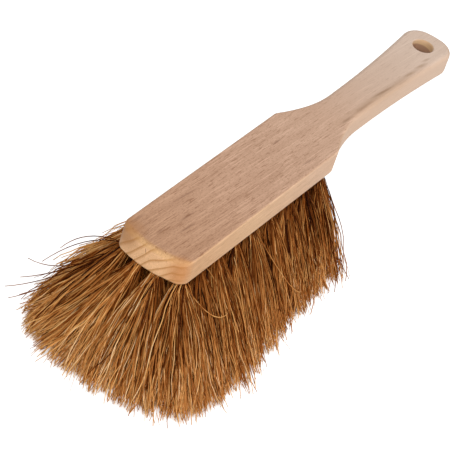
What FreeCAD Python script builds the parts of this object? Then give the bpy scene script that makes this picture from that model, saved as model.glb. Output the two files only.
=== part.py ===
import FreeCAD
import Part
import math
import os

# Hand broom: a one-piece beech stock, drawn in to a waisted handle with a hanging hole, and four rows of
# coir tufts. Each tuft is folded over a flat wire anchor and driven into its own slanted blind hole.
# Millimetres. +X runs from the block to the handle's end, +Z is up, and the broom stands on its tips.
# The origin lies below the middle of the whole broom, in the plane of the trimmed tips.

Vector = FreeCAD.Vector

# Board that the stock is cut from
BOARD_THICKNESS = 15.0

# Block, from the crown of its front edge to the shoulders
BLOCK_LENGTH = 152.0
BLOCK_WIDTH = 42.5
FRONT_BULGE = 4.3
FRONT_CORNER_RADIUS = 7.0
SHOULDER_RADIUS = 6.0
BLOCK_EDGE_RADIUS = 1.2
FRONT_TOP_EDGE_RADIUS = 3.5

# Handle, from the shoulders to the crown of its end
HANDLE_LENGTH = 150.0
WAIST_FROM_SHOULDER = 43.0
WAIST_WIDTH = 22.6
GRIP_WIDTH = 32.2
END_BULGE = 4.0
END_CORNER_RADIUS = 12.0
HANDLE_EDGE_RADIUS = 3.0

# Hanging hole through the handle
HANGING_HOLE_DIAMETER = 12.5
HANGING_HOLE_FROM_END = 17.0
HANGING_RIM_RADIUS = 0.8

# Tuft holes in the underside of the block: stations along it, each a shallow bow across the rows
STATION_COUNT = 9
FRONT_INSET = 6.0
REAR_INSET = 6.0
EDGE_INSET = 6.0
STATION_BOW = 4.0
TUFT_HOLE_DIAMETER = 6.5
TUFT_HOLE_DEPTH = 8.0

# Coir tufts, from the underside of the block down to the trimmed tips
BRISTLE_HEIGHT = 53.0
TUFT_CLEARANCE = 0.2
COLLAR_LENGTH = 2.0
TIP_GAP = 0.6

# Splay of the tufts: how far the middle of a tip lies from the middle of its hole
FRONT_SPLAY_INNER = 34.0
FRONT_SPLAY_OUTER = 24.0
REAR_SPLAY = 7.0
SIDE_SPLAY_FRONT = 32.5
SIDE_SPLAY_REAR = 26.0

# Flat wire anchors, pinched across the hole near its bottom
ANCHOR_BITE = 0.5
ANCHOR_THICKNESS = 0.6
ANCHOR_HEIGHT = 2.0
ANCHOR_SEAT = 1.2

# Rows of tufts from the left side to the right side: name, and place as a share of the outer rows' distance
ROWS = (
    ("left_outer", 1.0),
    ("left_inner", 1.0 / 3.0),
    ("right_inner", -1.0 / 3.0),
    ("right_outer", -1.0),
)

# Worked out from the sizes above
OUTER_ROW_Y = BLOCK_WIDTH / 2.0 - EDGE_INSET
ROW_SPACING = 2.0 * OUTER_ROW_Y / (len(ROWS) - 1)
STATION_PITCH = (BLOCK_LENGTH - FRONT_INSET - STATION_BOW - REAR_INSET) / (STATION_COUNT - 1)
INNER_TIP_PITCH = STATION_PITCH + (FRONT_SPLAY_INNER - REAR_SPLAY) / (STATION_COUNT - 1)
OUTER_TIP_PITCH = STATION_PITCH + (FRONT_SPLAY_OUTER - REAR_SPLAY) / (STATION_COUNT - 1)
FRONT_REACH = BLOCK_LENGTH - FRONT_INSET + FRONT_SPLAY_INNER + (INNER_TIP_PITCH - TIP_GAP) / 2.0
SHOULDER_X = (FRONT_REACH - HANDLE_LENGTH) / 2.0
WAIST_X = SHOULDER_X + WAIST_FROM_SHOULDER
FRONT_X = SHOULDER_X - BLOCK_LENGTH
HANDLE_END_X = SHOULDER_X + HANDLE_LENGTH
DOWN = Vector(0, 0, -1)
TOUCHING = 1e-4


def blend(start, end, share):
    """Value that lies the given share of the way from start to end."""
    return start + (end - start) * share


def mirrored(point):
    """The same point on the other side of the broom's middle plane."""
    return Vector(point.x, -point.y, point.z)


def tangent_arc(start, end):
    """Arc that leaves start along the X direction and bends to end."""
    run = end.x - start.x
    rise = end.y - start.y
    radius = (run * run + rise * rise) / (2.0 * rise)
    half_turn = math.asin(run / radius) / 2.0
    middle = start + Vector(radius * math.sin(half_turn), radius * (1.0 - math.cos(half_turn)), 0)
    return Part.Arc(start, middle, end).toShape()


def stock_outline():
    """Plan outline of the stock with sharp corners, in the plane of its underside."""
    front_corner = Vector(FRONT_X + FRONT_BULGE, BLOCK_WIDTH / 2.0, BRISTLE_HEIGHT)
    shoulder = Vector(SHOULDER_X, BLOCK_WIDTH / 2.0, BRISTLE_HEIGHT)
    waist = Vector(WAIST_X, WAIST_WIDTH / 2.0, BRISTLE_HEIGHT)
    end_corner = Vector(HANDLE_END_X - END_BULGE, GRIP_WIDTH / 2.0, BRISTLE_HEIGHT)
    front_crown = Vector(FRONT_X, 0, BRISTLE_HEIGHT)
    end_crown = Vector(HANDLE_END_X, 0, BRISTLE_HEIGHT)
    left_side = [
        Part.LineSegment(front_corner, shoulder).toShape(),
        tangent_arc(waist, shoulder),
        tangent_arc(waist, end_corner),
    ]
    right_side = [edge.mirror(Vector(), Vector(0, 1, 0)) for edge in left_side]
    front_edge = Part.Arc(front_corner, front_crown, mirrored(front_corner)).toShape()
    end_edge = Part.Arc(end_corner, end_crown, mirrored(end_corner)).toShape()
    return Part.Wire(Part.__sortEdges__([front_edge, end_edge] + left_side + right_side))


def upright_edges(solid, x):
    """Edges that run through the board's thickness at one place along the broom."""
    edges = []
    for edge in solid.Edges:
        box = edge.BoundBox
        if abs(box.ZLength - BOARD_THICKNESS) < TOUCHING and abs(box.Center.x - x) < TOUCHING:
            edges.append(edge)
    return edges


def edge_radius(point):
    """Rounding of the stock's edge at a point: larger over the block's front and down the handle."""
    on_top = point.z > BRISTLE_HEIGHT + TOUCHING
    between_sides = abs(point.y) < BLOCK_WIDTH / 2.0 - TOUCHING
    if on_top and between_sides and point.x < FRONT_X + FRONT_BULGE + FRONT_CORNER_RADIUS:
        return FRONT_TOP_EDGE_RADIUS
    neck_start_x = SHOULDER_X + SHOULDER_RADIUS
    share = min(max((point.x - neck_start_x) / (WAIST_X - neck_start_x), 0.0), 1.0)
    return blend(BLOCK_EDGE_RADIUS, HANDLE_EDGE_RADIUS, share)


def round_rims(solid):
    """Round the stock's top and bottom edges, each from the radius at its start to the one at its end."""
    document = FreeCAD.newDocument("stock")
    sharp = document.addObject("Part::Feature", "sharp")
    sharp.Shape = solid
    rounded = document.addObject("Part::Fillet", "rounded")
    rounded.Base = sharp
    rims = []
    for number, edge in enumerate(solid.Edges, start=1):
        if edge.BoundBox.ZLength < TOUCHING:
            ends = (edge.valueAt(edge.FirstParameter), edge.valueAt(edge.LastParameter))
            rims.append((number, edge_radius(ends[0]), edge_radius(ends[1])))
    rounded.Edges = rims
    document.recompute()
    return rounded.Shape


def drill_hanging_hole(board):
    """Drill the hanging hole through the handle and ease its two rims."""
    radius = HANGING_HOLE_DIAMETER / 2.0
    centre = Vector(HANDLE_END_X - HANGING_HOLE_FROM_END, 0, BRISTLE_HEIGHT)
    drilled = board.cut(Part.makeCylinder(radius, BOARD_THICKNESS, centre))
    rims = []
    for edge in drilled.Edges:
        if isinstance(edge.Curve, Part.Circle) and abs(edge.Curve.Radius - radius) < TOUCHING:
            rims.append(edge)
    return drilled.makeFillet(HANGING_RIM_RADIUS, rims)


def make_stock(holes, anchors):
    """The beech stock, bored for the tufts, pinched by their anchors and holed for hanging."""
    board = Part.Face(stock_outline()).extrude(Vector(0, 0, BOARD_THICKNESS))
    board = board.makeFillet(FRONT_CORNER_RADIUS, upright_edges(board, FRONT_X + FRONT_BULGE))
    board = board.makeFillet(SHOULDER_RADIUS, upright_edges(board, SHOULDER_X))
    board = board.makeFillet(END_CORNER_RADIUS, upright_edges(board, HANDLE_END_X - END_BULGE))
    board = drill_hanging_hole(round_rims(board))
    return board.cut(holes + anchors)


def oval(half_x, half_y, centre, direction):
    """Closed oval edge of the given half widths about centre, square to a direction that points down."""
    stretch = FreeCAD.Matrix()
    stretch.scale(half_x, half_y, 1.0)
    edge = Part.Circle(Vector(), Vector(0, 0, 1), 1.0).toShape().transformGeometry(stretch)
    edge.Placement = FreeCAD.Placement(centre, FreeCAD.Rotation(DOWN, direction))
    return edge


class TuftPlace:
    """Where one tuft leaves the block and where its tips end."""

    def __init__(self, station, row_share):
        along = station / (STATION_COUNT - 1)
        outwards = abs(row_share) > 0.5
        front_splay = FRONT_SPLAY_OUTER if outwards else FRONT_SPLAY_INNER
        tip_pitch = OUTER_TIP_PITCH if outwards else INNER_TIP_PITCH
        set_back = STATION_BOW if outwards else 0.0
        side_splay = blend(SIDE_SPLAY_FRONT, SIDE_SPLAY_REAR, along)
        hole_x = FRONT_X + FRONT_INSET + set_back + station * STATION_PITCH
        tip_x = hole_x - blend(front_splay, REAR_SPLAY, along)
        tip_spacing = ROW_SPACING * (OUTER_ROW_Y + side_splay) / OUTER_ROW_Y
        self.mouth = Vector(hole_x, row_share * OUTER_ROW_Y, BRISTLE_HEIGHT)
        self.tip = Vector(tip_x, row_share * (OUTER_ROW_Y + side_splay), 0)
        self.tip_half_x = (tip_pitch - TIP_GAP) / 2.0
        self.tip_half_y = (tip_spacing - TIP_GAP) / 2.0
        self.axis = (self.tip - self.mouth).normalize()

    def along_axis(self, distance):
        """Point on the tuft's axis, measured outwards from the mouth of its hole."""
        return self.mouth + self.axis * distance


def make_hole(place):
    """Cutter for one slanted blind hole, run out past the underside so that its mouth is clean."""
    run_out = TUFT_HOLE_DIAMETER
    bottom = place.along_axis(-TUFT_HOLE_DEPTH)
    return Part.makeCylinder(TUFT_HOLE_DIAMETER / 2.0, TUFT_HOLE_DEPTH + run_out, bottom, place.axis)


def make_anchor(place):
    """Flat piece of wire across the hole, long enough to bite into the wood at both ends."""
    length = TUFT_HOLE_DIAMETER + 2.0 * ANCHOR_BITE
    corner = Vector(-length / 2.0, -ANCHOR_THICKNESS / 2.0, 0)
    anchor = Part.makeBox(length, ANCHOR_THICKNESS, ANCHOR_HEIGHT, corner, Vector(0, 0, 1))
    seat = place.along_axis(ANCHOR_SEAT + ANCHOR_HEIGHT - TUFT_HOLE_DEPTH)
    anchor.Placement = FreeCAD.Placement(seat, FreeCAD.Rotation(DOWN, place.axis))
    return anchor


def make_tuft(place, anchor):
    """One tuft: a round root in its hole, a short collar below it, then a flare to the oval of its tips."""
    radius = TUFT_HOLE_DIAMETER / 2.0 - TUFT_CLEARANCE
    root = oval(radius, radius, place.along_axis(TUFT_CLEARANCE - TUFT_HOLE_DEPTH), place.axis)
    collar = oval(radius, radius, place.along_axis(COLLAR_LENGTH), place.axis)
    tips = oval(place.tip_half_x, place.tip_half_y, place.tip, DOWN)
    walls = [Part.makeRuledSurface(root, collar), Part.makeRuledSurface(collar, tips)]
    caps = [Part.Face(Part.Wire([edge])) for edge in (root, tips)]
    return Part.Solid(Part.Shell(walls + caps)).cut(anchor)


def save(name, shape):
    """Write one node and say what it holds."""
    shape.exportStep(os.path.join("parts", name + ".step"))
    print(f"{name}: {len(shape.Solids)} solid(s), {shape.Volume:.1f} mm3, valid {shape.isValid()}")


def main():
    """Make every piece and write each node."""
    os.makedirs("parts", exist_ok=True)
    holes = []
    anchors = []
    for row_name, row_share in ROWS:
        for station in range(STATION_COUNT):
            place = TuftPlace(station, row_share)
            anchor = make_anchor(place)
            holes.append(make_hole(place))
            anchors.append(anchor)
            save(f"tuft_{row_name}_{station + 1}", make_tuft(place, anchor))
    save("wire_anchors", Part.makeCompound(anchors))
    save("beech_stock", make_stock(holes, anchors))


main()
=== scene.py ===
import math

import bpy
import numpy as np
from mathutils import Matrix, Vector


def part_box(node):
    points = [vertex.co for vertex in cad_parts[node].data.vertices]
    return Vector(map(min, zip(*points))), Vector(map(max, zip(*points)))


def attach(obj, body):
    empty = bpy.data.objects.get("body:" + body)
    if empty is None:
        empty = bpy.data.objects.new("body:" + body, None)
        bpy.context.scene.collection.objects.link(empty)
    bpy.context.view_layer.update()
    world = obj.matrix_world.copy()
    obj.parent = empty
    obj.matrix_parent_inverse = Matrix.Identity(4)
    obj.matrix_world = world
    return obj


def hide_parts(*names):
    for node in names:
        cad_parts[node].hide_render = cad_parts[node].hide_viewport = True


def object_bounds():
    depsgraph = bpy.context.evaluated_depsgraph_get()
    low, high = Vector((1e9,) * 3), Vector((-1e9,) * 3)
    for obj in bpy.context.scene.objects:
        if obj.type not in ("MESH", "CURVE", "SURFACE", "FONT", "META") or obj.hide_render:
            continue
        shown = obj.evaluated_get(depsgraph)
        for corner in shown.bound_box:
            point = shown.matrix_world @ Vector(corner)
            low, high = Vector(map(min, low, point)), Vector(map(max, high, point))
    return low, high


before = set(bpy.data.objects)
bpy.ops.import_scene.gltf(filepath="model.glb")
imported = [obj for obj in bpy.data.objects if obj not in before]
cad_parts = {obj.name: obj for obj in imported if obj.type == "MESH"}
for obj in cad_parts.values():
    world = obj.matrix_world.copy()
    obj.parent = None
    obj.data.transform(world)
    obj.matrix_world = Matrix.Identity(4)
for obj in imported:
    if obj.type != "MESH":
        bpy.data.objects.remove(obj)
cad_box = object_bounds()

# Hand broom: a raw beech stock, which keeps its solid, and coir tufts, each redrawn fibre by fibre in place
# of its plain solid. Metres, with the block towards -X, the handle towards +X and the tips on the floor.
MM = 0.001
FULL_TURN = 2.0 * np.pi

# Camera: a view from the front right, above the block, with the broom slantwise across a square picture
CAMERA_TARGET = Vector((-76.7, -11.9, 60.0)) * MM
CAMERA_DISTANCE = 1.255
CAMERA_AZIMUTH = -67.95
CAMERA_ELEVATION = 36.92
CAMERA_ROLL = 18.83
LENS = 193.8
SENSOR_WIDTH = 36.0
CLIP_END = 20.0

# Light: soft and even, with a broad lamp by the camera and a second one towards the broom's right side
WHITE = (1.0, 1.0, 1.0, 1.0)
SKY_LEVEL = 0.45
LAMPS = (
    # name, direction from the broom, distance, width, level on a surface that faces it
    ("front_softbox", Vector((-0.85, -0.25, 0.75)), 1.6, 0.7, 0.49),
    ("right_softbox", Vector((-0.20, -0.95, 0.45)), 1.6, 0.8, 0.36),
)

# Floor: its own grey, and the white that it shows the camera, which fades this close under the broom as
# painted shade, tinted to the coir's brown as painted bounce light
FLOOR_HALF_WIDTH = 3.0
FLOOR_COLOUR = (0.6, 0.6, 0.6, 1.0)
FLOOR_GLOW = 0.8
FLOOR_PAINTED_SHADE_REACH = 5.0 * MM
FLOOR_PAINTED_SHADES = ((0.0, "#2A1404"), (0.4, "#A87A50"), (0.8, "#FFFFFF"))

# Growth rings of the beech, in millimetres: turn of the grain in the board, and width of a ring at two
# places across it, on the right and on the left. Seen from the front, the rings rise to the right,
# steeply up to the bend and less beyond it
GRAIN_TURN = math.radians(-2.5)
RING_PLACES = (-20.0, 20.0)
RING_WIDTHS = (4.6, 11.0)
RING_SLOPE = 0.3
RING_BEND = -6.5
RING_BEND_RADIUS = 3.0
RING_STEEPENING = 1.1
RING_START = 1.6
RING_WOBBLE = 3.2
WOBBLE_SPOTS = (120.0, 14.0)
RING_LINE = ((0.0, "#404040"), (0.25, "#000000"), (0.6, "#202020"), (0.9, "#FFFFFF"), (1.0, "#404040"))
RING_TONES = (1.01, 0.96)

# How squarely the surface has to face along the grain to be end grain, and upwards or down to be face
# grain. The product of both is greatest on the rounded rims of the ends
END_GRAIN_RANGE = (0.5, 0.8)
FACE_RANGE = (0.6, 0.95)
RIM_RANGE = (0.1, 0.4)

# Colours along the board, from the first place to the second: of the top, and of the sides, which are lighter
# partly in the wood's own colour and partly as painted light from the lamps that face them. Then those of the
# cut ends, which are less yellow on the handle, and of their rims
COLOUR_PLACES = (-120.0 * MM, 150.0 * MM)
FACE_COLOURS = (
    (0.0, "#BE9272"), (0.25, "#CBA286"), (0.6, "#D2AD93"), (0.78, "#D9BBA5"), (1.0, "#E2C9B6"),
)
SIDE_COLOURS = ((0.0, "#D6A97F"), (0.2, "#DEB68F"), (0.45, "#DCB799"), (1.0, "#DFC1A9"))
END_COLOURS = ((0.0, "#E8B98B"), (1.0, "#C08A52"))
HANDLE_YELLOWING = 0.35
RIM_COLOUR = "#BC9058"
RIM_STRENGTH = 0.5

# Figure of the wood. The pores are drawn coarser than real ones, so that they show
FIGURE = {
    # length and width of its spots in millimetres, detail, range of the noise, and tone at each end of it
    "band": (90.0, 5.0, 2.0, (0.3, 0.7), (0.91, 1.07)),
    "fibre": (24.0, 0.8, 2.0, (0.3, 0.7), (0.92, 1.07)),
    "pores": (1.8, 0.5, 1.0, (0.53, 0.7), (1.0, 0.74)),
    "strokes": (10.0, 0.8, 1.0, (0.61, 0.72), (1.0, 0.52)),
    "streaks": (26.0, 1.0, 1.0, (0.58, 0.68), (1.0, 1.26)),
}
# Share of the figure that is left on the sides and on the handle, where it fades between these shares of
# the way along
SIDE_FIGURE = 0.4
HANDLE_FIGURE = 0.25
HANDLE_FIGURE_RANGE = (0.45, 0.7)
# Colour of dark and of pale figure, as shares of the plain wood's red, green and blue
DARK_FIGURE = (0.64, 0.55, 0.47)
PALE_FIGURE = (1.14, 1.16, 1.18)
GRAIN_DEPTH = 0.05 * MM

# Single marks in the wood: middle and half sizes in millimetres, turn in degrees, core, strength and colour
WOOD_MARKS = (
    # a dark band along the handle's right edge, with darker strokes in it
    ((92.0, -9.4, 68.0), (62.0, 3.4, 6.0), (0.0, 0.0, -2.0), 0.2, 0.45, "#A88260"),
    ((90.0, -8.3, 68.0), (13.0, 1.0, 1.5), (0.0, 0.0, -6.0), 0.2, 0.55, "#8A6544"),
    ((66.7, -8.9, 68.0), (12.0, 1.3, 1.5), (0.0, 0.0, 0.0), 0.2, 0.4, "#8E6A4C"),
    ((48.8, -8.9, 68.0), (8.0, 1.2, 1.5), (0.0, 0.0, -2.0), 0.2, 0.5, "#8E6A4C"),
    ((133.5, -9.6, 68.0), (7.0, 1.4, 1.5), (0.0, 0.0, -10.0), 0.1, 0.45, "#A27C55"),
    ((141.5, -8.4, 68.0), (5.0, 1.1, 1.5), (0.0, 0.0, -8.0), 0.1, 0.4, "#A27C55"),
    ((120.4, -9.5, 68.0), (7.0, 1.2, 1.5), (0.0, 0.0, -6.0), 0.1, 0.45, "#9A744E"),
    # wood that is browner at both sides of the front end
    ((-130.0, -18.5, 60.0), (9.0, 10.0, 14.0), (0.0, 0.0, 0.0), 0.3, 0.75, "#B87840"),
    ((-128.0, 18.0, 64.0), (10.0, 13.0, 10.0), (0.0, 0.0, 0.0), 0.4, 0.7, "#A87242"),
    # a hole wall painted pale yellow, partly the end grain's own colour and partly painted light on its lit
    # upper side, and darker deeper in as the painted shadow of its rim
    ((152.94, 0.0, 60.5), (7.3, 7.3, 18.0), (0.0, 0.0, 0.0), 0.9, 0.9, "#D0AD82"),
    ((152.94, 0.0, 55.5), (14.0, 14.0, 10.5), (17.0, 11.0, 0.0), 0.93, 0.9, "#A27C64"),
    # a short drying crack in the front end
    ((-130.5, 2.4, 63.6), (8.0, 0.35, 1.9), (-16.0, 0.0, 0.0), 0.4, 0.8, "#8A5A34"),
    # dark strokes in the top
    ((-2.5, 6.1, 68.0), (5.0, 0.7, 1.0), (0.0, 0.0, -4.0), 0.3, 0.6, "#74492F"),
    ((-2.8, -15.0, 68.0), (7.0, 0.8, 1.0), (0.0, 0.0, -3.0), 0.3, 0.45, "#7E553C"),
    ((-119.0, 17.6, 68.0), (8.0, 0.9, 1.0), (0.0, 0.0, -3.0), 0.3, 0.45, "#7E553C"),
    ((-118.7, 4.0, 68.0), (5.0, 0.8, 1.0), (0.0, 0.0, -4.0), 0.3, 0.45, "#7E553C"),
    ((-97.0, 1.8, 68.0), (8.0, 0.8, 1.0), (0.0, 0.0, -4.0), 0.3, 0.5, "#74492F"),
    ((-84.0, 12.5, 68.0), (13.0, 0.7, 1.0), (0.0, 0.0, -4.0), 0.3, 0.45, "#7E553C"),
    ((-104.0, -3.5, 68.0), (9.0, 0.9, 1.0), (0.0, 0.0, -2.0), 0.3, 0.5, "#74492F"),
)

# What is read from a tuft's solid: the tips are lower than the first height, and the root is higher above
# the block's underside than the second
TIP_HEIGHT = 0.2 * MM
ROOT_MARGIN = 2.0 * MM

# Outline of the trimmed tips on the floor, in millimetres: place along the broom, and reach there to the left
# and to the right, where use has leaned the tufts out a little more. Between two tufts it draws in
FOOTPRINT = (
    (-175.5, 14.5, 17.5),
    (-173.0, 28.5, 31.5),
    (-168.5, 39.0, 43.0),
    (-162.5, 47.0, 53.0),
    (-151.0, 54.0, 61.0),
    (-134.0, 57.5, 65.5),
    (-104.0, 58.5, 65.5),
    (-84.0, 56.0, 62.0),
    (-45.0, 53.0, 56.0),
    (13.5, 51.0, 52.5),
)
SIDE_POINTS = 100
END_POINTS = 40
SCALLOP_DEPTH = 4.0 * MM
SCALLOP_REACH = 10.0 * MM

# Strands, in which the fibres of a tuft lie: their pitch on the floor, and how far fibres stray from them
STRAND_PITCH = 3.2 * MM
STRAND_JITTER = 1.4 * MM
STRAND_SCATTER = 1.4 * MM
SCATTER_TAIL = 2.2
SCATTER_LIMIT = 7.0 * MM
STRAY_LIMIT = 16.0 * MM
STRAND_BOW = 2.4 * MM

# Locks, in which neighbouring strands gather towards their tips, with shorter fibres between them. Fibres in
# a lock are painted a little lighter and those between locks darker, as painted light and painted shade
LOCK_SIZE = (8.0 * MM, 14.0 * MM)
LOCK_WAVES = 9
LOCK_SEED = 5
LOCK_PULL = 1.0 * MM
LOCK_SHORTENING = 0.04
LOCK_PAINTED_SHADE = 0.15

# Coir fibres: seed of their random draws, number in a tuft and number more for each of its strands, then
# their rings, sides and size, coarser than real coir
SEED = 7
TUFT_FIBRES = 330
STRAND_FIBRES = 5
RINGS = 13
SIDES = 3
FIBRE_RADIUS = (0.13 * MM, 0.4 * MM)
TIP_TAPER = 0.7
TIP_POWER = 4

# Lengths, as shares of the way to the floor. They differ at the footprint's edge and even out inside it
LONGEST = 0.998
SHORTENING = 0.04
SHORTENING_LIMIT = 0.5
STRAND_SHORTEST = 0.955
EVENNESS = 0.8
EVEN_DEPTH = 9.0 * MM

# Course of a fibre: its place in the root disc, how it opens from there, and its bow, wave and kinks
ROOT_DISC_RADIUS = 2.9 * MM
ROOT_DEPTH = 6.0 * MM
ROOT_ORDER = 0.35
ROOT_SPREAD = 0.7
FLARE_ALONG = 0.6
FLARE_ACROSS = 0.95
SPLAY_POWER = 1.15
FIBRE_BOW = 2.6 * MM
BOW_LIMIT = 5.0 * MM
KINK = 0.35 * MM
WAVE_HEIGHT = (0.7 * MM, 3.6 * MM)
WAVE_COUNT = (1.3, 3.8)

# Browns of coir by tone. A strand and a fibre each have a tone, drawn from a beta spread of these shapes,
# mottled from ring to ring and paler at the tip. Painted shade makes the tone darker towards the roots deep
# inside the tuft, and the colour a little darker towards every root, where the fibres crowd and shade each
# other
COIR_BROWNS = (
    (0.0, "#120200"), (0.14, "#4C1E04"), (0.3, "#8C4B18"),
    (0.55, "#CA8444"), (0.82, "#EEB36C"), (1.0, "#F8CA94"),
)
STRAND_TONES = (0.6, 0.5)
FIBRE_TONES = (0.6, 0.52)
STRAND_TONE_SHARE = 0.38
INNER_PAINTED_SHADE = 0.66
PAINTED_SHADE_DEPTH = 8.0 * MM
MOTTLING = 0.35
TIP_PALING = 0.3
ROOT_SHADE_TO_TIP_LEVELS = (0.85, 1.04)
BLOTCH_SIZE = 6.0 * MM
BLOTCH_RANGE = (0.3, 0.7)
BLOTCH_LEVELS = (0.9, 1.04)

# Bare margins in a tuft's flat map, as shares: beside a fibre's column, above and below it, and about an end
COLUMN_MARGIN = 0.05
ROW_MARGIN = 0.02
END_MARGIN = 0.002

# Size of the spots that stand for die lines on the wire anchors
DIE_LINE_SIZE = 0.3 * MM

# Loose fibres that stand out of their tufts: tuft, tone, and in millimetres the point that the fibre bends
# towards and its end
LOOSE_RADIUS = 0.3 * MM
LOOSE_FIBRES = (
    ("left_outer_1", 0.15, (-122.0, 40.0, 47.0), (-133.0, 56.0, 20.0)),
    ("left_outer_1", 0.15, (-122.0, 42.0, 48.0), (-131.0, 49.0, 33.0)),
    ("left_outer_1", 0.15, (-138.0, 40.0, 22.0), (-141.2, 60.2, 24.0)),
    ("left_outer_1", 0.15, (-134.0, 43.0, 20.0), (-139.2, 62.7, 8.0)),
    ("left_outer_1", 0.15, (-138.0, 44.0, 16.0), (-147.0, 65.7, 4.0)),
    ("left_outer_1", 0.15, (-139.0, 44.0, 12.0), (-152.1, 59.5, 3.0)),
    ("right_outer_9", 0.15, (0.0, -36.0, 30.0), (6.1, -57.3, 8.0)),
    ("right_outer_5", 0.6, (-56.0, -52.0, 26.0), (-40.0, -50.0, 20.0)),
    ("right_outer_1", 0.6, (-128.0, -44.0, 40.0), (-108.0, -41.0, 38.0)),
)


def linear(hex_colour):
    """Linear RGBA of an sRGB hex colour such as "#C8A27E"."""
    srgb = np.array([int(hex_colour[i:i + 2], 16) for i in (1, 3, 5)]) / 255.0
    rgb = np.where(srgb <= 0.04045, srgb / 12.92, ((srgb + 0.055) / 1.055) ** 2.4)
    return (*rgb.tolist(), 1.0)


def add_node(tree, kind, inputs=None, stops=None, **settings):
    """Add a node: settings are its own, inputs go to sockets by name or number, and stops fill its colour
    ramp."""
    made = tree.nodes.new("ShaderNode" + kind)
    for name, value in settings.items():
        setattr(made, name, value)
    for key, value in (inputs or {}).items():
        if isinstance(value, bpy.types.NodeSocket):
            tree.links.new(value, made.inputs[key])
        else:
            made.inputs[key].default_value = value
    if stops:
        ramp = made.color_ramp.elements
        while len(ramp) < len(stops):
            ramp.new(0.5)
        for element, (position, hex_colour) in zip(ramp, stops):
            element.position = position
            element.color = linear(hex_colour)
    return made


def empty_tree(owner):
    """A material's or world's node tree, emptied."""
    owner.use_nodes = True
    owner.node_tree.nodes.clear()
    return owner.node_tree


def drawn_out_noise(tree, board, length, width, detail=1.0):
    """Noise over the board, with spots of this length along the grain and width across it, in millimetres."""
    scale = (1.0 / length, 1.0 / width, 1.0 / width)
    stretched = add_node(tree, "Mapping", {"Vector": board, "Scale": scale}).outputs[0]
    return add_node(tree, "TexNoise", {"Vector": stretched, "Scale": 1.0, "Detail": detail}).outputs[0]


def oval_mark(tree, coords, middle, half_sizes, turn, core):
    """1 in the core of an oval mark and 0 at its rim, for a mark placed in millimetres. The core is a share
    of the half sizes, and the turn is a rotation about X, Y and Z in degrees."""
    placed = add_node(
        tree, "Mapping",
        {
            "Vector": coords,
            "Location": Vector(middle) * MM,
            "Rotation": [math.radians(angle) for angle in turn],
            "Scale": Vector(half_sizes) * MM,
        },
        vector_type="TEXTURE",
    ).outputs[0]
    distance = add_node(tree, "VectorMath", {0: placed}, operation="LENGTH").outputs["Value"]
    return add_node(tree, "MapRange", {"Value": distance, 1: 1.0, 2: core}).outputs[0]


def ring_lines(tree, board):
    """Growth rings, as a level that peaks in the thin dark line at the end of each ring. A ring follows the
    height in the board, with the slope and the bend, pushed up and down a little along the board."""
    across, height = add_node(tree, "SeparateXYZ", {0: board}).outputs[1:3]
    wobble = drawn_out_noise(tree, board, *WOBBLE_SPOTS)
    bend = add_node(
        tree, "Math", {0: across, 1: RING_BEND, 2: RING_BEND_RADIUS}, operation="SMOOTH_MAX",
    ).outputs[0]
    level = add_node(tree, "Math", {0: height, 1: RING_START}, operation="ADD").outputs[0]
    for lift, share in ((wobble, RING_WOBBLE), (across, RING_SLOPE), (bend, RING_STEEPENING)):
        level = add_node(tree, "Math", {0: lift, 1: share, 2: level}, operation="MULTIPLY_ADD").outputs[0]
    width = add_node(
        tree, "MapRange",
        {"Value": across, 1: RING_PLACES[0], 2: RING_PLACES[1], 3: RING_WIDTHS[0], 4: RING_WIDTHS[1]},
    ).outputs[0]
    ring = add_node(tree, "Math", {0: level, 1: width}, operation="DIVIDE").outputs[0]
    ring = add_node(tree, "Math", {0: ring}, operation="FRACT").outputs[0]
    return add_node(tree, "ValToRGB", {0: ring}, stops=RING_LINE).outputs[0]


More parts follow.
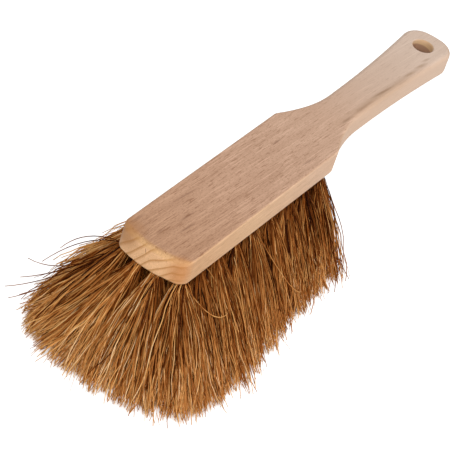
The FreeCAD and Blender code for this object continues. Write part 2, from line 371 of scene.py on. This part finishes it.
def raw_beech(top):
    """Raw beech, planed and sanded: no varnish, so no gloss. The board is cut flat to the growth rings, so
    the top shows broad soft bands with fine dark pores, longer dark strokes and pale streaks along the
    grain. The cut ends are more yellow, with a thin darker line at the end of each ring, and their rounded
    rims are browner."""
    material = bpy.data.materials.new("raw_beech")
    tree = empty_tree(material)
    texture = add_node(tree, "TexCoord").outputs
    coords = texture["Object"]
    # The board's own millimetres: X along the grain, Y to its left and Z up from its top
    board = add_node(
        tree, "Mapping",
        {
            "Vector": coords,
            "Location": (0.0, 0.0, top),
            "Rotation": (0.0, 0.0, GRAIN_TURN),
            "Scale": (MM, MM, MM),
        },
        vector_type="TEXTURE",
    ).outputs[0]
    ring_line = ring_lines(tree, board)
    length = add_node(tree, "SeparateXYZ", {0: coords}).outputs[0]
    along = add_node(
        tree, "MapRange", {"Value": length, 1: COLOUR_PLACES[0], 2: COLOUR_PLACES[1]},
    ).outputs[0]

    # Where the surface faces: end grain across the fibres, face grain above and below, rims between them
    facing = add_node(tree, "SeparateXYZ", {0: texture["Normal"]}).outputs
    end_on = add_node(tree, "Math", {0: facing[0]}, operation="ABSOLUTE").outputs[0]
    upright = add_node(tree, "Math", {0: facing[2]}, operation="ABSOLUTE").outputs[0]
    end_grain = add_node(
        tree, "MapRange", {"Value": end_on, 1: END_GRAIN_RANGE[0], 2: END_GRAIN_RANGE[1]},
    ).outputs[0]
    yellowing = add_node(tree, "MapRange", {"Value": along, 3: 1.0, 4: HANDLE_YELLOWING}).outputs[0]
    end_grain = add_node(tree, "Math", {0: end_grain, 1: yellowing}, operation="MULTIPLY").outputs[0]
    face_grain = add_node(
        tree, "MapRange", {"Value": upright, 1: FACE_RANGE[0], 2: FACE_RANGE[1]},
    ).outputs[0]
    rim = add_node(tree, "Math", {0: end_on, 1: upright}, operation="MULTIPLY").outputs[0]
    rim = add_node(
        tree, "MapRange", {"Value": rim, 1: RIM_RANGE[0], 2: RIM_RANGE[1], 4: RIM_STRENGTH},
    ).outputs[0]

    # Colour: pinker on the block and paler along the handle; the sides are lighter, partly as painted light
    face = add_node(tree, "ValToRGB", {0: along}, stops=FACE_COLOURS).outputs[0]
    side = add_node(tree, "ValToRGB", {0: along}, stops=SIDE_COLOURS).outputs[0]
    ends = add_node(tree, "ValToRGB", {0: ring_line}, stops=END_COLOURS).outputs[0]
    wood = add_node(tree, "Mix", {0: face_grain, 6: side, 7: face}, data_type="RGBA").outputs[2]
    wood = add_node(tree, "Mix", {0: end_grain, 6: wood, 7: ends}, data_type="RGBA").outputs[2]
    wood = add_node(tree, "Mix", {0: rim, 6: wood, 7: linear(RIM_COLOUR)}, data_type="RGBA").outputs[2]

    # Figure along the grain, fainter on the sides and the handle
    plain = add_node(
        tree, "MapRange",
        {"Value": along, 1: HANDLE_FIGURE_RANGE[0], 2: HANDLE_FIGURE_RANGE[1], 3: 1.0, 4: HANDLE_FIGURE},
    ).outputs[0]
    topmost = add_node(tree, "MapRange", {"Value": face_grain, 3: SIDE_FIGURE, 4: 1.0}).outputs[0]
    shown = add_node(tree, "Math", {0: plain, 1: topmost}, operation="MULTIPLY").outputs[0]
    tone = add_node(
        tree, "MapRange", {"Value": ring_line, 3: RING_TONES[0], 4: RING_TONES[1]},
    ).outputs[0]
    noises = {name: drawn_out_noise(tree, board, *row[:3]) for name, row in FIGURE.items()}
    for name, (*_, limits, tones) in FIGURE.items():
        factor = add_node(
            tree, "MapRange",
            {"Value": noises[name], 1: limits[0], 2: limits[1], 3: tones[0], 4: tones[1]},
        ).outputs[0]
        tone = add_node(tree, "Math", {0: tone, 1: factor}, operation="MULTIPLY").outputs[0]
    tone = add_node(tree, "Mix", {0: shown, 2: 1.0, 3: tone}).outputs[0]
    tone = add_node(tree, "MapRange", {"Value": tone, 1: DARK_FIGURE[0], 2: PALE_FIGURE[0]}).outputs[0]
    dark = add_node(tree, "VectorMath", {0: wood, 1: DARK_FIGURE}, operation="MULTIPLY").outputs[0]
    pale = add_node(tree, "VectorMath", {0: wood, 1: PALE_FIGURE}, operation="MULTIPLY").outputs[0]
    wood = add_node(tree, "Mix", {0: tone, 6: dark, 7: pale}, data_type="RGBA").outputs[2]

    for middle, half_sizes, turn, core, strength, hex_colour in WOOD_MARKS:
        mark = oval_mark(tree, coords, middle, half_sizes, turn, core)
        share = add_node(tree, "Math", {0: mark, 1: strength}, operation="MULTIPLY").outputs[0]
        colour = linear(hex_colour)
        wood = add_node(tree, "Mix", {0: share, 6: wood, 7: colour}, data_type="RGBA").outputs[2]
    grain_bump = add_node(
        tree, "Bump", {"Strength": 0.2, "Distance": GRAIN_DEPTH, "Height": noises["fibre"]},
    ).outputs[0]
    shader = add_node(
        tree, "BsdfPrincipled",
        {
            "Base Color": wood,
            "Roughness": 0.62,
            "IOR": 1.5,
            "Specular IOR Level": 0.35,
            "Normal": grain_bump,
        },
    ).outputs[0]
    add_node(tree, "OutputMaterial", {"Surface": shader})
    return material


def raw_coir():
    """Raw coir, combed from coconut husk: stiff, slightly waxy fibres. No two have the same brown, from pale
    gold to dark, and each is mottled along its length."""
    material = bpy.data.materials.new("raw_coir")
    tree = empty_tree(material)
    tone = add_node(tree, "Attribute", attribute_name="tone").outputs["Fac"]
    reach = add_node(tree, "Attribute", attribute_name="reach").outputs["Fac"]
    coords = add_node(tree, "TexCoord").outputs["Object"]
    blotches = add_node(
        tree, "TexNoise", {"Vector": coords, "Scale": 1.0 / BLOTCH_SIZE, "Detail": 2.0},
    ).outputs["Fac"]
    brown = add_node(tree, "ValToRGB", {0: tone}, stops=COIR_BROWNS).outputs[0]
    # painted shade: the colour is a little darker towards the roots, where the fibres crowd
    along = add_node(
        tree, "MapRange", {"Value": reach, 3: ROOT_SHADE_TO_TIP_LEVELS[0], 4: ROOT_SHADE_TO_TIP_LEVELS[1]},
    ).outputs[0]
    blotched = add_node(
        tree, "MapRange",
        {
            "Value": blotches,
            1: BLOTCH_RANGE[0],
            2: BLOTCH_RANGE[1],
            3: BLOTCH_LEVELS[0],
            4: BLOTCH_LEVELS[1],
        },
    ).outputs[0]
    level = add_node(tree, "Math", {0: along, 1: blotched}, operation="MULTIPLY").outputs[0]
    colour = add_node(tree, "VectorMath", {0: brown, "Scale": level}, operation="SCALE").outputs[0]
    shader = add_node(
        tree, "BsdfPrincipled",
        {"Base Color": colour, "Roughness": 0.5, "IOR": 1.53, "Specular IOR Level": 0.03},
    ).outputs[0]
    add_node(tree, "OutputMaterial", {"Surface": shader})
    return material


def drawn_wire():
    """Drawn flat steel wire: plain grey metal, finely scored by the die. The scores are drawn as small
    spots."""
    material = bpy.data.materials.new("drawn_steel_wire")
    tree = empty_tree(material)
    coords = add_node(tree, "TexCoord").outputs["Object"]
    lines = add_node(
        tree, "TexNoise", {"Vector": coords, "Scale": 1.0 / DIE_LINE_SIZE, "Detail": 2.0},
    ).outputs["Fac"]
    greys = ((0.3, "#9A9A98"), (0.7, "#C2C2C0"))
    colour = add_node(tree, "ValToRGB", {0: lines}, stops=greys).outputs[0]
    rough = add_node(tree, "MapRange", {"Value": lines, 3: 0.32, 4: 0.5}).outputs[0]
    shader = add_node(
        tree, "BsdfPrincipled", {"Base Color": colour, "Metallic": 1.0, "Roughness": rough},
    ).outputs[0]
    add_node(tree, "OutputMaterial", {"Surface": shader})
    return material


def solid_points(node_name):
    """All of a CAD node's vertices, as one array."""
    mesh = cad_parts[node_name].data
    points = np.empty(len(mesh.vertices) * 3, np.float32)
    mesh.vertices.foreach_get("co", points)
    return points.reshape(-1, 3).astype(float)


def tuft_place(node_name, underside):
    """Mouth, axis, tip and tip half widths of a tuft, read from its solid: the tips are its lowest ring, the
    root is what lies above the block's underside, and the mouth is where the axis crosses that underside."""
    points = solid_points(node_name)
    tips = points[points[:, 2] < TIP_HEIGHT]
    root = points[points[:, 2] > underside + ROOT_MARGIN]
    tip = (tips.min(axis=0) + tips.max(axis=0)) / 2.0
    half = (tips.max(axis=0) - tips.min(axis=0)) / 2.0
    root_middle = (root.min(axis=0) + root.max(axis=0)) / 2.0
    axis = (tip - root_middle) / np.linalg.norm(tip - root_middle)
    mouth = tip - axis * (tip[2] - underside) / axis[2]
    return mouth, axis, tip, half


def within_disc(points, radius):
    """The same points, with those outside a disc about the origin drawn back to its rim."""
    return points / np.maximum(np.linalg.norm(points, axis=1, keepdims=True) / radius, 1.0)


def strand_tips(places, rng):
    """Tips of all the strands, one array for each tuft: a honeycomb of points, each pushed a little at random
    and given to the tuft whose own tip is nearest. Kept are those inside the footprint, whose sides draw in
    with the square of the way from the tuft's own tip."""
    along, left, right = np.array(FOOTPRINT).T * MM
    column, row = np.mgrid[along[0]:along[-1]:STRAND_PITCH, -right.max():left.max():STRAND_PITCH]
    row = row + np.arange(len(row))[:, None] % 2 * STRAND_PITCH / 2.0
    points = np.stack((column.ravel(), row.ravel()), axis=1)
    points += rng.uniform(-STRAND_JITTER, STRAND_JITTER, points.shape)
    middles = np.array([place[2][:2] for place in places])
    owner = np.argmin(np.linalg.norm(points[:, None, :] - middles, axis=2), axis=1)
    apart = np.minimum(np.abs(points[:, 0] - middles[owner, 0]) / SCALLOP_REACH, 1.0)
    drawn_in = SCALLOP_DEPTH * apart ** 2
    on_left = points[:, 1] < np.interp(points[:, 0], along, left) - drawn_in
    on_right = points[:, 1] > drawn_in - np.interp(points[:, 0], along, right)
    return [points[(owner == number) & on_left & on_right] for number in range(len(places))]


def locks(points):
    """How points on the floor gather in locks: a level from -1 in a gap to 1 in a lock, and a step towards
    the lock. The level is a sum of sine waves that cross the floor in random directions, and the step is the
    sum of their slopes, each as a share of its steepest."""
    rng = np.random.default_rng(LOCK_SEED)
    heading = rng.uniform(0.0, FULL_TURN, LOCK_WAVES)
    direction = np.stack((np.cos(heading), np.sin(heading)))
    start = rng.uniform(0.0, FULL_TURN, LOCK_WAVES)
    phase = FULL_TURN * (points @ direction) / rng.uniform(*LOCK_SIZE, LOCK_WAVES) + start
    share = math.sqrt(2.0 / LOCK_WAVES)
    level = np.clip(share * np.sin(phase).sum(axis=1), -1.0, 1.0)
    return level, share * np.cos(phase) @ direction.T


def inside_footprint(points):
    """Whether points lie inside the footprint."""
    along, left, right = np.array(FOOTPRINT).T * MM
    x, y = points.T
    between = (y < np.interp(x, along, left)) & (y > -np.interp(x, along, right))
    return between & (x > along[0]) & (x < along[-1])


def footprint_depth(points):
    """Distance of points from the footprint's edge, measured to closely spaced points along it."""
    along, left, right = np.array(FOOTPRINT).T * MM
    x = np.linspace(along[0], along[-1], SIDE_POINTS)
    share = np.linspace(0.0, 1.0, END_POINTS)
    first = np.full(END_POINTS, along[0])
    last = np.full(END_POINTS, along[-1])
    edge = np.concatenate((
        np.stack((x, np.interp(x, along, left)), axis=1),
        np.stack((x, -np.interp(x, along, right)), axis=1),
        np.stack((first, share * (left[0] + right[0]) - right[0]), axis=1),
        np.stack((last, share * (left[-1] + right[-1]) - right[-1]), axis=1),
    ))
    return np.linalg.norm(points[:, None, :] - edge, axis=2).min(axis=1)


def fibre_tips(strands, strand, rng):
    """Where fibres end on the floor: by their strand's tip, with a scatter that leaves a few far off. A fibre
    strays far only inside the footprint."""
    scatter = STRAND_SCATTER * rng.standard_t(SCATTER_TAIL, (len(strand), 2))
    stray = strands[strand] + np.clip(scatter, -STRAY_LIMIT, STRAY_LIMIT)
    held = strands[strand] + np.clip(scatter, -SCATTER_LIMIT, SCATTER_LIMIT)
    return np.where(inside_footprint(stray)[:, None], stray, held)


def fibre_paths(place, strands, level, strand, rng):
    """Centre lines of a tuft's fibres, as an array of fibre, ring and XYZ. The tuft's middle line falls
    evenly from the mouth to the tip and moves out as a power of the way along. To it come a fibre's own
    offset, which opens from the root disc to the fibre's tip as another power, a bow that is greatest half
    way, a sine wave that grows along the fibre, and small random kinks that add up along it."""
    mouth, axis, tip, half = place
    count = len(strand)
    side = np.cross(axis, (0.0, 1.0, 0.0))
    side /= np.linalg.norm(side)
    front = np.cross(axis, side)
    tip_offset = np.zeros((count, 1, 3))
    tip_offset[:, 0, :2] = fibre_tips(strands, strand, rng) - tip[:2]
    ordered = within_disc(tip_offset[:, 0, :2] / half[:2], 1.0)
    loose = within_disc(rng.normal(0.0, ROOT_SPREAD, (count, 2)), 1.0)
    root_spot = ROOT_ORDER * ordered + (1.0 - ROOT_ORDER) * loose
    root_offset = ROOT_DISC_RADIUS * (root_spot[:, :1] * side + root_spot[:, 1:] * front)[:, None, :]

    ragged = 1.0 - EVENNESS * np.minimum(footprint_depth(strands) / EVEN_DEPTH, 1.0)
    shorter = np.abs(rng.normal(0.0, SHORTENING, count)) * ragged[strand]
    end = LONGEST - np.minimum(shorter, SHORTENING_LIMIT)
    end *= 1.0 - ((1.0 - STRAND_SHORTEST) * ragged * rng.random(len(strands)))[strand]
    end *= 1.0 - (LOCK_SHORTENING * ragged * (1.0 - level) / 2.0)[strand]
    way = np.linspace(0.0, 1.0, RINGS - 1)[None, :, None] * end[:, None, None]
    opening = np.concatenate((way ** FLARE_ALONG, way ** FLARE_ACROSS, way), axis=2)
    splay = np.concatenate((way ** SPLAY_POWER, way ** SPLAY_POWER, way), axis=2)
    paths = mouth + (tip - mouth) * splay + root_offset * (1.0 - opening) + tip_offset * opening

    strand_bow = rng.normal(0.0, STRAND_BOW, (len(strands), 1, 2))[strand]
    bow = np.clip(strand_bow + rng.normal(0.0, FIBRE_BOW, (count, 1, 2)), -BOW_LIMIT, BOW_LIMIT)
    wave_count = rng.uniform(*WAVE_COUNT, (count, 1, 2))
    wave_height = rng.uniform(*WAVE_HEIGHT, (count, 1, 2)) / wave_count
    wave_start = rng.uniform(0.0, FULL_TURN, (count, 1, 2))
    wave = np.sin(FULL_TURN * wave_count * way + wave_start) - np.sin(wave_start)
    kinks = np.cumsum(rng.normal(0.0, KINK, (count, RINGS - 1, 2)), axis=1)
    paths[:, :, :2] += wave_height * wave * way + bow * 4.0 * way * (1.0 - way) + kinks
    inside = mouth + root_offset - axis * ROOT_DEPTH
    return np.concatenate((inside, paths), axis=1)


def loose_paths(place, bends):
    """Centre lines of loose fibres: from the mouth, a curve drawn towards its bend point and then to its end,
    with the weights of a parabola, (1 - t)^2, 2t(1 - t) and t^2."""
    mouth, axis = place[:2]
    way = np.linspace(0.0, 1.0, RINGS - 1)[None, :, None]
    points = np.array(bends)[:, :, None, :] * MM
    towards = points[:, 0] * 2.0 * way * (1.0 - way)
    paths = mouth * (1.0 - way) ** 2 + towards + points[:, 1] * way ** 2
    inside = np.broadcast_to(mouth - axis * ROOT_DEPTH, (len(paths), 1, 3))
    return np.concatenate((inside, paths), axis=1)


def tube_points(paths, radius):
    """Skin of tubes along paths: each ring is a small polygon square to the path, of the radius given for
    it."""
    along = np.gradient(paths, axis=1)
    along /= np.linalg.norm(along, axis=2, keepdims=True)
    across = np.cross(along, (0.0, 1.0, 0.0))
    across /= np.linalg.norm(across, axis=2, keepdims=True)
    third = np.cross(along, across)
    angle = np.arange(SIDES) * FULL_TURN / SIDES
    ring = across[:, :, None, :] * np.cos(angle)[:, None] + third[:, :, None, :] * np.sin(angle)[:, None]
    return paths[:, :, None, :] + ring * radius[:, :, None, None]


def tube_faces(count):
    """Corner numbers of all the fibres' faces, as quads of the walls and triangles of the two ends."""
    number = np.arange(count * RINGS * SIDES).reshape(count, RINGS, SIDES)
    turned = np.roll(number, -1, axis=2)
    quads = np.stack((number[:, :-1], turned[:, :-1], turned[:, 1:], number[:, 1:]), axis=-1)
    ends = np.stack((number[:, 0, ::-1], number[:, -1]), axis=1)
    return quads.reshape(-1, 4), ends.reshape(-1, 3)


def fibre_map(count):
    """Flat map of the fibres: one column per fibre, with its walls side by side from root to tip, and its two
    ends as small triangles above and below."""
    column = np.arange(count)[:, None, None, None]
    wall = (np.arange(SIDES)[None, None, :, None] + np.array([0.0, 1.0, 1.0, 0.0])) / SIDES
    row = (np.arange(RINGS - 1)[None, :, None, None] + np.array([0.0, 0.0, 1.0, 1.0])) / (RINGS - 1)
    shape = (count, RINGS - 1, SIDES, 4)
    across = (column + COLUMN_MARGIN + (1.0 - 2.0 * COLUMN_MARGIN) * wall) / count
    up = ROW_MARGIN + (1.0 - 2.0 * ROW_MARGIN) * row
    quads = np.stack((np.broadcast_to(across, shape), np.broadcast_to(up, shape)), axis=-1)

    corner = np.array([2.0 * COLUMN_MARGIN, 1.0 - 2.0 * COLUMN_MARGIN, 0.5])
    low = np.array([END_MARGIN, END_MARGIN, ROW_MARGIN - END_MARGIN])
    level = np.stack((low, low + 1.0 - ROW_MARGIN))
    shape = (count, 2, 3)
    across = (np.arange(count)[:, None, None] + corner) / count
    ends = np.stack((np.broadcast_to(across, shape), np.broadcast_to(level, shape)), axis=-1)
    return np.concatenate((quads.reshape(-1, 2), ends.reshape(-1, 2)))


def fill_mesh(mesh, points, quads, triangles, flat_map):
    """Put whole arrays of points, faces and map places into a mesh."""
    corners = np.concatenate((quads.ravel(), triangles.ravel()))
    sizes = np.concatenate((np.full(len(quads), 4), np.full(len(triangles), 3)))
    mesh.vertices.add(len(points))
    mesh.vertices.foreach_set("co", points.astype(np.float32).ravel())
    mesh.loops.add(len(corners))
    mesh.loops.foreach_set("vertex_index", corners.astype(np.int32))
    mesh.polygons.add(len(sizes))
    mesh.polygons.foreach_set("loop_start", (np.cumsum(sizes) - sizes).astype(np.int32))
    mesh.update(calc_edges=True)
    mesh.polygons.foreach_set("use_smooth", np.ones(len(sizes), bool))
    layer = mesh.uv_layers.new(name="OFBake")
    layer.uv.foreach_set("vector", flat_map.astype(np.float32).ravel())


def coir_tuft(node_name, place, strands, material, rng):
    """One tuft as separate fibres, in the place of its solid."""
    strand = rng.integers(0, len(strands), TUFT_FIBRES + STRAND_FIBRES * len(strands))
    level, step = locks(strands)
    strands = strands + LOCK_PULL * step
    paths = fibre_paths(place, strands, level, strand, rng)
    strand_tone = rng.beta(*STRAND_TONES, len(strands))[strand]
    fibre_tone = rng.beta(*FIBRE_TONES, len(strand))
    tone = STRAND_TONE_SHARE * strand_tone + (1.0 - STRAND_TONE_SHARE) * fibre_tone
    # painted light in the locks and painted shade in the gaps between them
    tone *= 1.0 + LOCK_PAINTED_SHADE * level[strand]
    # painted shade: fibres whose tips lie deep inside the footprint are darker towards their roots
    shade = INNER_PAINTED_SHADE * np.minimum(footprint_depth(strands) / PAINTED_SHADE_DEPTH, 1.0)[strand]
    thickness = rng.uniform(*FIBRE_RADIUS, len(strand))
    loose = [row[1:] for row in LOOSE_FIBRES if node_name == "tuft_" + row[0]]
    if loose:
        paths = np.concatenate((paths, loose_paths(place, [row[1:] for row in loose])))
        tone = np.concatenate((tone, [row[0] for row in loose]))
        shade = np.concatenate((shade, np.zeros(len(loose))))
        thickness = np.concatenate((thickness, np.full(len(loose), LOOSE_RADIUS)))

    count = len(paths)
    way = np.linspace(0.0, 1.0, RINGS)
    near_tip = way ** TIP_POWER
    # the painted shade is strongest at the root and gone at the tip
    tone = tone[:, None] * (1.0 - shade[:, None] * (1.0 - way))
    tone *= rng.uniform(1.0 - MOTTLING, 1.0 + MOTTLING, tone.shape)
    tone += TIP_PALING * (1.0 - tone) * near_tip
    radius = thickness[:, None] * (1.0 - (1.0 - TIP_TAPER) * near_tip)
    mesh = bpy.data.meshes.new(node_name.replace("tuft", "coir"))
    fill_mesh(mesh, tube_points(paths, radius).reshape(-1, 3), *tube_faces(count), fibre_map(count))
    attributes = {"tone": np.repeat(tone, SIDES), "reach": np.tile(np.repeat(way, SIDES), count)}
    for name, values in attributes.items():
        mesh.attributes.new(name, "FLOAT", "POINT").data.foreach_set("value", values.astype(np.float32))
    mesh.materials.append(material)
    piece = bpy.data.objects.new(mesh.name, mesh)
    bpy.context.scene.collection.objects.link(piece)
    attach(piece, "root")
    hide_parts(node_name)


def dress_node(node_name, material):
    """Give a CAD node that stays its finished material."""
    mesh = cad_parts[node_name].data
    mesh.materials.clear()
    mesh.materials.append(material)


def level_by_ray(tree, seen, unseen):
    """One level where the camera looks, straight or by gloss or glass, and another for light on the broom."""
    path = add_node(tree, "LightPath").outputs
    looking = path["Is Camera Ray"]
    for kind in ("Is Glossy Ray", "Is Transmission Ray"):
        looking = add_node(tree, "Math", {0: looking, 1: path[kind]}, operation="MAXIMUM").outputs[0]
    return add_node(tree, "MapRange", {"Value": looking, 3: unseen, 4: seen}).outputs[0]


def white_sky():
    """Even white sky, which lights the broom from all sides at its own level."""
    world = bpy.data.worlds.new("even_sky")
    bpy.context.scene.world = world
    tree = empty_tree(world)
    strength = level_by_ray(tree, 1.0, SKY_LEVEL)
    sky = add_node(tree, "Background", {"Color": WHITE, "Strength": strength}).outputs[0]
    add_node(tree, "OutputWorld", {"Surface": sky})


def pale_floor():
    """Pale paper floor with the broom's soft shadow. Its white is the light of a white room; where the broom
    stands close over it, that white fades by ambient occlusion to the coir's brown, as painted shade and
    painted bounce light."""
    material = bpy.data.materials.new("pale_floor")
    tree = empty_tree(material)
    # painted shade and painted bounce light: the glow fades to brown where the broom is close above
    open_above = add_node(tree, "AmbientOcclusion", {"Distance": FLOOR_PAINTED_SHADE_REACH}).outputs["AO"]
    bounced = add_node(tree, "ValToRGB", {0: open_above}, stops=FLOOR_PAINTED_SHADES).outputs[0]
    glow = level_by_ray(tree, FLOOR_GLOW, 0.0)
    paper = add_node(tree, "BsdfDiffuse", {"Color": FLOOR_COLOUR}).outputs[0]
    light = add_node(tree, "Emission", {"Color": bounced, "Strength": glow}).outputs[0]
    both = add_node(tree, "AddShader", {0: paper, 1: light}).outputs[0]
    add_node(tree, "OutputMaterial", {"Surface": both})

    half = FLOOR_HALF_WIDTH
    corners = [(-half, -half, 0), (half, -half, 0), (half, half, 0), (-half, half, 0)]
    mesh = bpy.data.meshes.new("floor")
    mesh.from_pydata(corners, [], [(0, 1, 2, 3)])
    mesh.materials.append(material)
    floor = bpy.data.objects.new("floor", mesh)
    bpy.context.scene.collection.objects.link(floor)


def softboxes():
    """Broad lamps that face the broom. A lamp's power is its level times pi squared times its distance
    squared, which gives that level on a white surface that faces it."""
    middle = sum(cad_box, Vector()) / 2.0
    for name, direction, distance, width, level in LAMPS:
        lamp = bpy.data.lights.new(name, "AREA")
        lamp.size = width
        lamp.energy = level * math.pi ** 2 * distance ** 2
        holder = bpy.data.objects.new(name, lamp)
        holder.location = middle + direction.normalized() * distance
        holder.rotation_euler = (-direction).to_track_quat("-Z", "Y").to_euler()
        bpy.context.scene.collection.objects.link(holder)


def photo_camera():
    """Camera at its target's distance, by azimuth and elevation, then rolled about its own line of sight."""
    azimuth = math.radians(CAMERA_AZIMUTH)
    elevation = math.radians(CAMERA_ELEVATION)
    back = Vector((
        math.sin(azimuth) * math.cos(elevation),
        -math.cos(azimuth) * math.cos(elevation),
        math.sin(elevation),
    ))
    data = bpy.data.cameras.new("camera")
    data.lens = LENS
    data.sensor_width = SENSOR_WIDTH
    data.clip_end = CLIP_END
    camera = bpy.data.objects.new("camera", data)
    level = (-back).to_track_quat("-Z", "Y").to_matrix().to_4x4()
    roll = Matrix.Rotation(math.radians(CAMERA_ROLL), 4, "Z")
    camera.matrix_world = Matrix.Translation(CAMERA_TARGET + back * CAMERA_DISTANCE) @ level @ roll
    bpy.context.scene.collection.objects.link(camera)
    bpy.context.scene.camera = camera


def main():
    """Dress the stock and the anchors, redraw every tuft, then set up the room, the lamps and the camera."""
    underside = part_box("beech_stock")[0].z
    dress_node("beech_stock", raw_beech(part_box("beech_stock")[1].z))
    dress_node("wire_anchors", drawn_wire())
    coir = raw_coir()
    tufts = sorted(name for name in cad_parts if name.startswith("tuft_"))
    places = [tuft_place(node_name, underside) for node_name in tufts]
    rng = np.random.default_rng(SEED)
    for node_name, place, strands in zip(tufts, places, strand_tips(places, rng)):
        coir_tuft(node_name, place, strands, coir, rng)
    white_sky()
    pale_floor()
    softboxes()
    photo_camera()
    bpy.context.scene.view_settings.view_transform = "Standard"


main()
